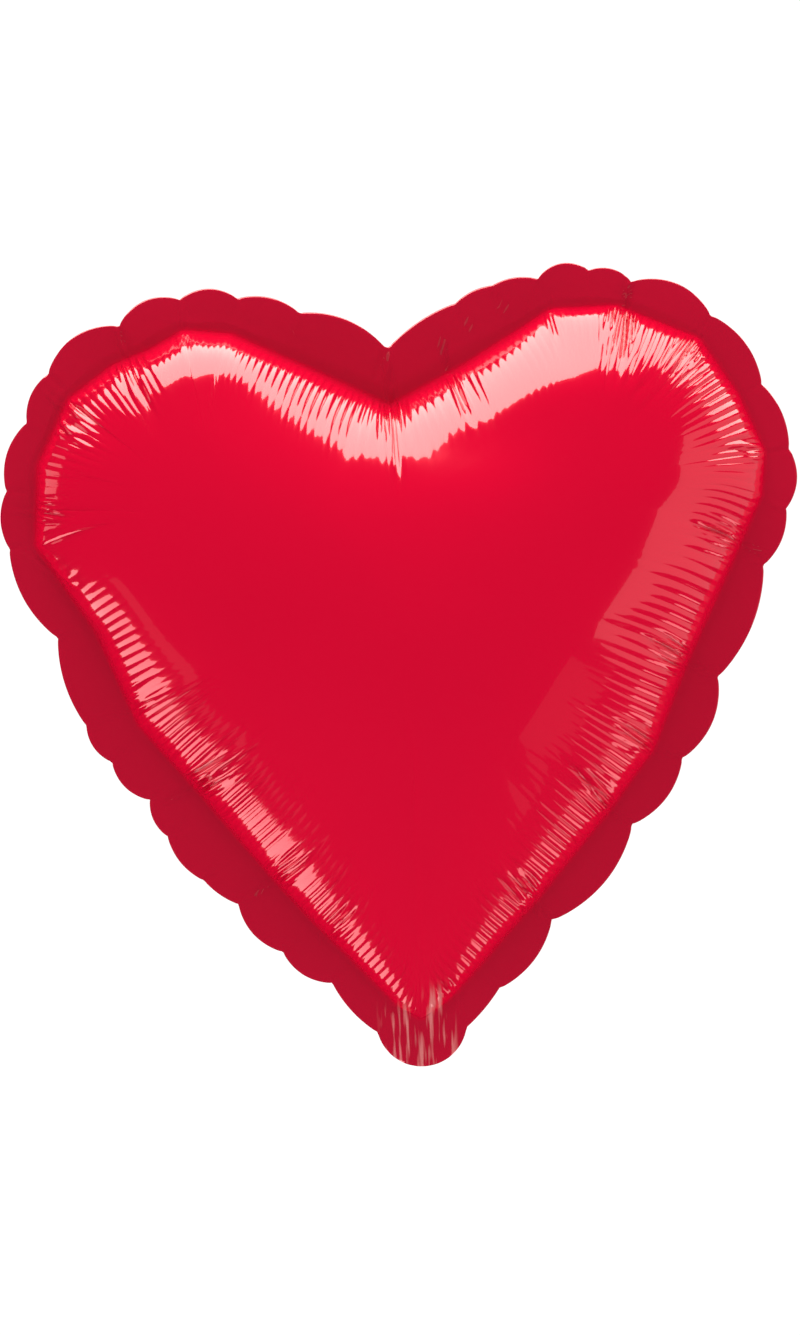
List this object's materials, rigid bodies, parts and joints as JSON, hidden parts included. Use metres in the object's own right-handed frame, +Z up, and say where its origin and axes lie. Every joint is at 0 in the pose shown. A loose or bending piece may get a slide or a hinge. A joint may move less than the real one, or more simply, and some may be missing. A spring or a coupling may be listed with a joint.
{
  "type": "heart-shaped foil balloon",
  "caption": "Inflated heart-shaped foil balloon with a scalloped welded flange, a short tail with an inflation hole, and a self-sealing flat valve.",
  "frame": {"origin": "the neck where the ribbon is tied, on the middle plane between the two panels", "axes": "+Z up from the tail to the heart's cleft, +X to the right as seen from the front, the front panel faces -Y"},
  "size_m": [0.4035, 0.15, 0.4005],
  "materials": {
    "foil": "glossy metallised film, red",
    "weld": "heat-welded film, glossy red",
    "valve_film": "clear soft film",
    "release_ink": "matt printed ink"
  },
  "bodies": {
    "envelope": {"front_panel": "foil", "back_panel": "foil", "edge_weld": "weld", "valve_neck_plies": "valve_film", "valve_ink_patch": "release_ink"},
    "tail": {"tail_front_film": "foil", "tail_back_film": "foil", "tail_weld": "weld", "valve_mouth_plies": "valve_film"},
    "valve_front": {"valve_front_ply": "valve_film"},
    "valve_back": {"valve_back_ply": "valve_film"}
  },
  "joints": [
    {"name": "tail_bend", "type": "hinge", "parent": "envelope", "child": "tail", "pos_m": [0, 0, 0], "axis": [1, 0, 0], "range_deg": [-60, 60], "stiffness_Nm_per_rad": 0.0005},
    {"name": "valve_front_open", "type": "hinge", "parent": "envelope", "child": "valve_front", "pos_m": [0, -0.00017, 0.012], "axis": [1, 0, 0], "range_deg": [0, 4], "stiffness_Nm_per_rad": 0.0005},
    {"name": "valve_back_open", "type": "hinge", "parent": "envelope", "child": "valve_back", "pos_m": [0, 0.00017, 0.012], "axis": [1, 0, 0], "range_deg": [-4, 0]}
  ],
  "couplings": [
    {"joint": "valve_back_open", "follows": "valve_front_open", "ratio": -1}
  ]
}
